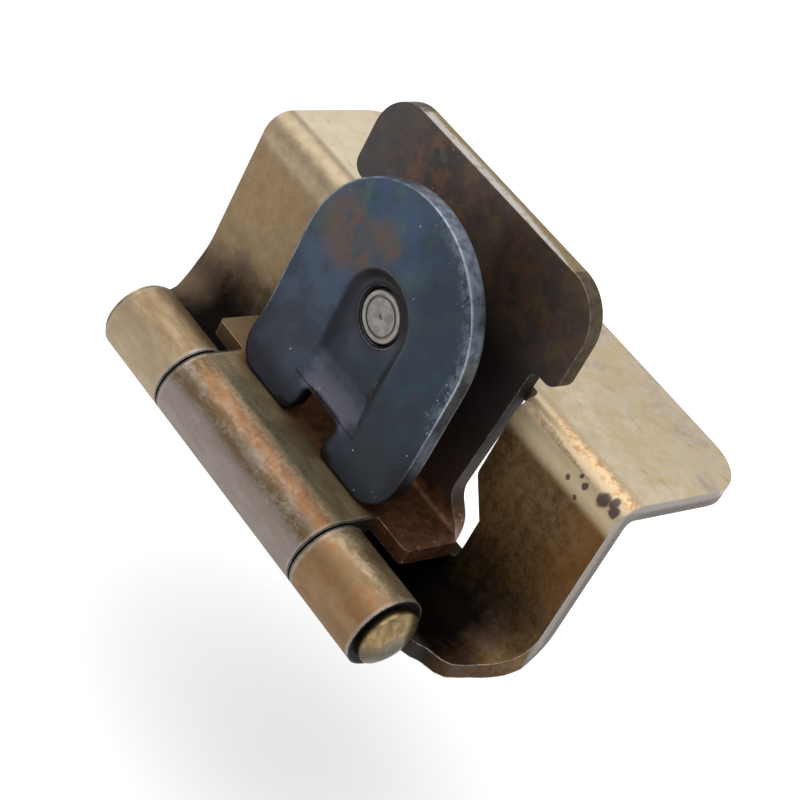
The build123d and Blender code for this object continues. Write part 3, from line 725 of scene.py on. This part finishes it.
winding.iterations = THREAD_TURNS
winding.steps = THREAD_STEPS
winding.render_steps = THREAD_STEPS
winding.use_merge_vertices = True
bpy.ops.object.modifier_apply(modifier="winding")
bpy.ops.object.mode_set(mode="EDIT")
bpy.ops.mesh.select_all(action="SELECT")
bpy.ops.mesh.fill_holes(sides=0)
bpy.ops.mesh.select_all(action="SELECT")
bpy.ops.mesh.normals_make_consistent(inside=False)
bpy.ops.transform.translate(value=(0.0, 0.0, SCREW_Z * MM))
bpy.ops.object.mode_set(mode="OBJECT")
dress(thread, screw_finish)
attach(thread, "screw")
print("thread faces:", len(thread.data.polygons))
corners = [vertex.co * MM_PER_METRE for vertex in thread.data.vertices]
spans = [(min(place[i] for place in corners), max(place[i] for place in corners)) for i in range(3)]
print("thread spans:", [(round(a, 2), round(b, 2)) for a, b in spans])


# %% [markdown]
# The pin's heads are plated like the barrel and stand out furthest, so hands polished their domes
# and left the flat in the middle dull. Each head is darker where it meets its knuckle, and painted
# shade darkens its lower part.

# %% The pin's polished brass
def pin_brass():
    page = Page("polished_brass_pin")
    page.shader.inputs["Metallic"].default_value = 0.85
    radius = (page.x * page.x + page.z * page.z) ** 0.5
    fine = page.noise(0.3, detail=4.0, rough=0.6, shift=27.0)
    mottle = page.noise(1.0, detail=4.0, rough=0.6, shift=33.0)
    colour = page.blend(
        mottle.step(0.38, 0.62), from_screen(118, 99, 66), from_screen(150, 130, 92))
    dull = (radius + (mottle - 0.5) * 0.8 + page.z * 0.35).step(1.7, 0.9)
    colour = page.blend(dull * 0.85, colour, from_screen(112, 104, 92))
    # Painted shade: each head is darker toward its bottom.
    colour = page.blend(page.z.step(0.6, -1.4) * 0.85, colour, from_screen(66, 60, 50))
    dark_ring = page.y.step(-19.9, -19.5).least(page.y.step(19.5, 19.3)) * radius.step(2.0, 2.4)
    colour = page.blend(dark_ring * 0.9, colour, BLACK_BROWN)
    page.link("Base Color", colour)
    page.link("Roughness", (0.3 + 0.16 * dull + 0.12 * (fine - 0.5)).clamp())
    page.bump(fine * 0.015 + mottle * 0.05, 0.5, 0.001)
    return page.material


dress(parts["hinge_pin"], pin_brass())
print("pin finished")


# %% [markdown]
# The floor is plain and pale, so that it bounces soft light up into the metal as a photographer's
# table does. The door leaf swings half a turn round the pin and then hangs down as far as it now
# stands up, so the floor lies just below that reach. It isn't part of the object.

# %% The pale floor
FLOOR_CLEARANCE = 0.0015
FLOOR_SIZE = 6.0
FLOOR_GREY = 0.93
FLOOR_ROUGHNESS = 0.9
floor_z = -cad_box[1][2] - FLOOR_CLEARANCE
bpy.ops.object.select_all(action="DESELECT")
bpy.ops.mesh.primitive_plane_add(size=FLOOR_SIZE, location=(0.0, 0.0, floor_z))
floor = bpy.context.active_object
floor.name = "pale_floor"
floor_page = Page("plain_pale_floor")
floor_page.shader.inputs["Base Color"].default_value = (FLOOR_GREY, FLOOR_GREY, FLOOR_GREY, 1.0)
floor_page.shader.inputs["Roughness"].default_value = FLOOR_ROUGHNESS
dress(floor, floor_page.material)
print("floor at", round(floor_z * MM_PER_METRE, 2), "mm")

# %% [markdown]
# The soft light has two parts: one very broad light from above, which darkens the faces that turn
# away from it, and an even white surround that keeps the shadows open. Metal shows what it
# reflects, so the surround matters as much as the light.

# %% Light and surround
SURROUND_STRENGTH = 0.8
LIGHT_FROM = (-0.08, 0.28, 1.0)
LIGHT_SPREAD = 75.0
LIGHT_STRENGTH = 2.1

world = bpy.data.worlds.new("studio_surround")
world.use_nodes = True
world.node_tree.nodes["Background"].inputs["Color"].default_value = (1.0, 1.0, 1.0, 1.0)
world.node_tree.nodes["Background"].inputs["Strength"].default_value = SURROUND_STRENGTH
bpy.context.scene.world = world


def soft_sky(name, direction, spread, strength):
    """A wide soft light that comes from one side of the sky and reaches all of the floor."""
    data = bpy.data.lights.new(name, "SUN")
    data.angle = math.radians(spread)
    data.energy = strength
    lamp = bpy.data.objects.new(name, data)
    bpy.context.scene.collection.objects.link(lamp)
    lamp.rotation_euler = (-Vector(direction)).to_track_quat("-Z", "Y").to_euler()


soft_sky("overhead_light", LIGHT_FROM, LIGHT_SPREAD, LIGHT_STRENGTH)
print("lights set")

# %% [markdown]
# The camera's place was worked out from the straight edges of the frame leaf in the photograph. It
# looks down on the barrel from its near end, rolled so that the barrel runs down to the right.

# %% The camera
CAMERA_PLACE = Vector((-120.373, -95.165, 108.780)) / MM_PER_METRE
CAMERA_RIGHT = Vector((0.717773, -0.558482, 0.415813))
CAMERA_UP = Vector((0.092350, 0.668278, 0.738157))
CAMERA_BACK = Vector((-0.690125, -0.491429, 0.531248))
FOCAL_PIXELS = 2246.91
FRAME_PIXELS = 800.0
SENSOR_MM = 36.0

camera_data = bpy.data.cameras.new("camera")
camera_data.sensor_width = SENSOR_MM
camera_data.lens = FOCAL_PIXELS / FRAME_PIXELS * SENSOR_MM
camera_data.clip_start = 0.001
camera = bpy.data.objects.new("camera", camera_data)
bpy.context.scene.collection.objects.link(camera)
rows = Matrix((CAMERA_RIGHT, CAMERA_UP, CAMERA_BACK)).transposed().to_4x4()
camera.matrix_world = Matrix.Translation(CAMERA_PLACE) @ rows
bpy.context.scene.camera = camera
bpy.context.scene.view_settings.view_transform = "Standard"
print("lens", round(camera_data.lens, 2), "mm")
